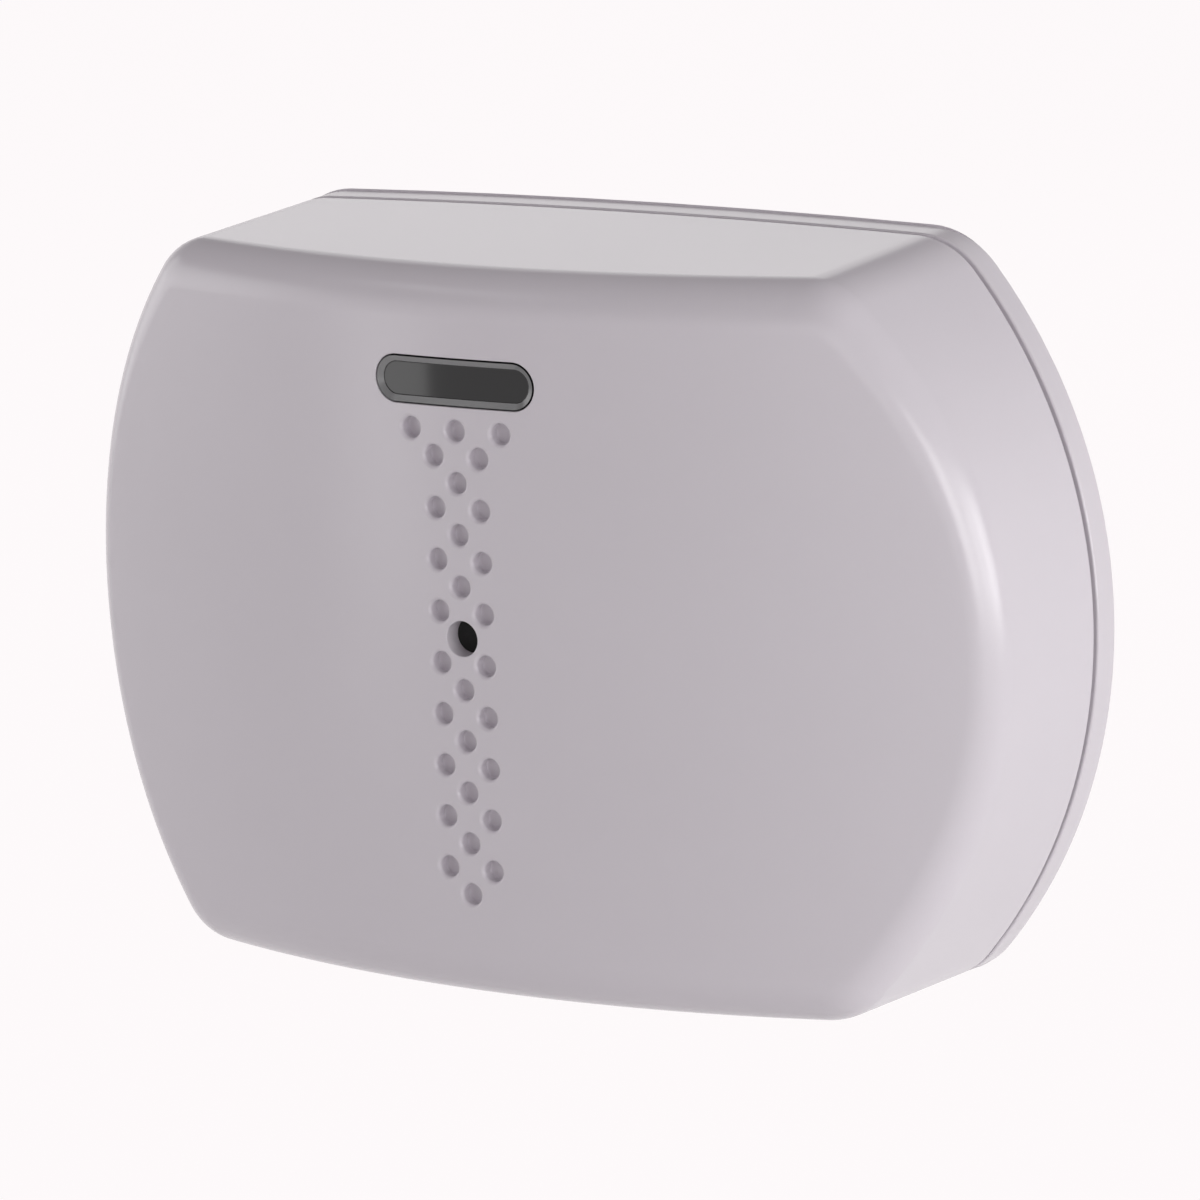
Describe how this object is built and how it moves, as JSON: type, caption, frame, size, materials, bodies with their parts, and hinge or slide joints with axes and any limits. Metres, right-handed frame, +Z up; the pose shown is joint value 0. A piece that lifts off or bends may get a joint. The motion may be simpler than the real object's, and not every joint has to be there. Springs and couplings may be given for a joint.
{
  "type": "glass break sensor",
  "caption": "Wall-mounted wireless acoustic glass break sensor with a bowed moulded cover, smoked indicator window, dimpled column and microphone port on a shallow rear base.",
  "frame": {"origin": "centre of the rear face that lies on the wall", "axes": "+X to the viewer's right along the width, +Z up, +Y into the wall, so the front looks along -Y"},
  "size_m": [0.1116, 0.0358, 0.08],
  "materials": {
    "cover_plastic": "fine spark texture, semi-matt",
    "base_plastic": "fine spark texture, semi-matt",
    "smoked_window": "polished smoked plastic",
    "clear_plastic": "clear moulded plastic",
    "red_light": "tinted clear resin",
    "green_light": "tinted clear resin",
    "black_rubber": "moulded rubber",
    "mesh_cloth": "woven acoustic mesh",
    "can_metal": "drawn can",
    "tin_plate": "bright tin plate",
    "board_laminate": "solder resist over laminate",
    "chip_black": "moulded epoxy",
    "switch_black": "moulded plastic",
    "button_plastic": "moulded plastic",
    "holder_plastic": "moulded plastic",
    "cell_sleeve": "plain shrink sleeve",
    "spring_steel": "nickel-plated spring steel",
    "screw_steel": "zinc-plated steel",
    "antenna_wire": "plated wire",
    "ceramic": "ceramic"
  },
  "bodies": {
    "housing": {"front_cover": "cover_plastic", "rear_base": "base_plastic", "indicator_window": "smoked_window", "light_guide": "clear_plastic", "status_light_red": "red_light", "status_light_green": "green_light", "microphone_sleeve": "black_rubber", "microphone_capsule": "can_metal", "port_mesh": "mesh_cloth", "circuit_board": "board_laminate", "microcontroller": "chip_black", "audio_processor": "chip_black", "radio_module": "board_laminate", "radio_shield_can": "tin_plate", "antenna": "antenna_wire", "timing_crystal": "can_metal", "reservoir_capacitor": "can_metal", "service_header": "switch_black", "chip_resistors": "chip_black", "chip_capacitors": "ceramic", "enrol_switch": "switch_black", "cover_tamper_switch": "switch_black", "wall_tamper_switch": "switch_black", "battery_cell": "cell_sleeve", "battery_holder": "holder_plastic", "battery_contact_positive": "spring_steel", "battery_contact_negative": "spring_steel", "board_screws": "screw_steel", "cover_screw": "screw_steel"},
    "enrol_button": {"enrol_button": "button_plastic"},
    "cover_tamper_plunger": {"cover_tamper_plunger": "button_plastic"},
    "wall_tamper_plunger": {"wall_tamper_plunger": "button_plastic"}
  },
  "joints": [
    {"name": "enrol_press", "type": "slide", "parent": "housing", "child": "enrol_button", "axis": [0, 1, 0], "range_m": [0, 0.00025], "stiffness_N_per_m": 500},
    {"name": "cover_tamper_press", "type": "slide", "parent": "housing", "child": "cover_tamper_plunger", "axis": [0, 1, 0], "range_m": [0, 0.00025], "stiffness_N_per_m": 500},
    {"name": "wall_tamper_press", "type": "slide", "parent": "housing", "child": "wall_tamper_plunger", "axis": [0, -1, 0], "range_m": [0, 0.00025], "stiffness_N_per_m": 500}
  ]
}
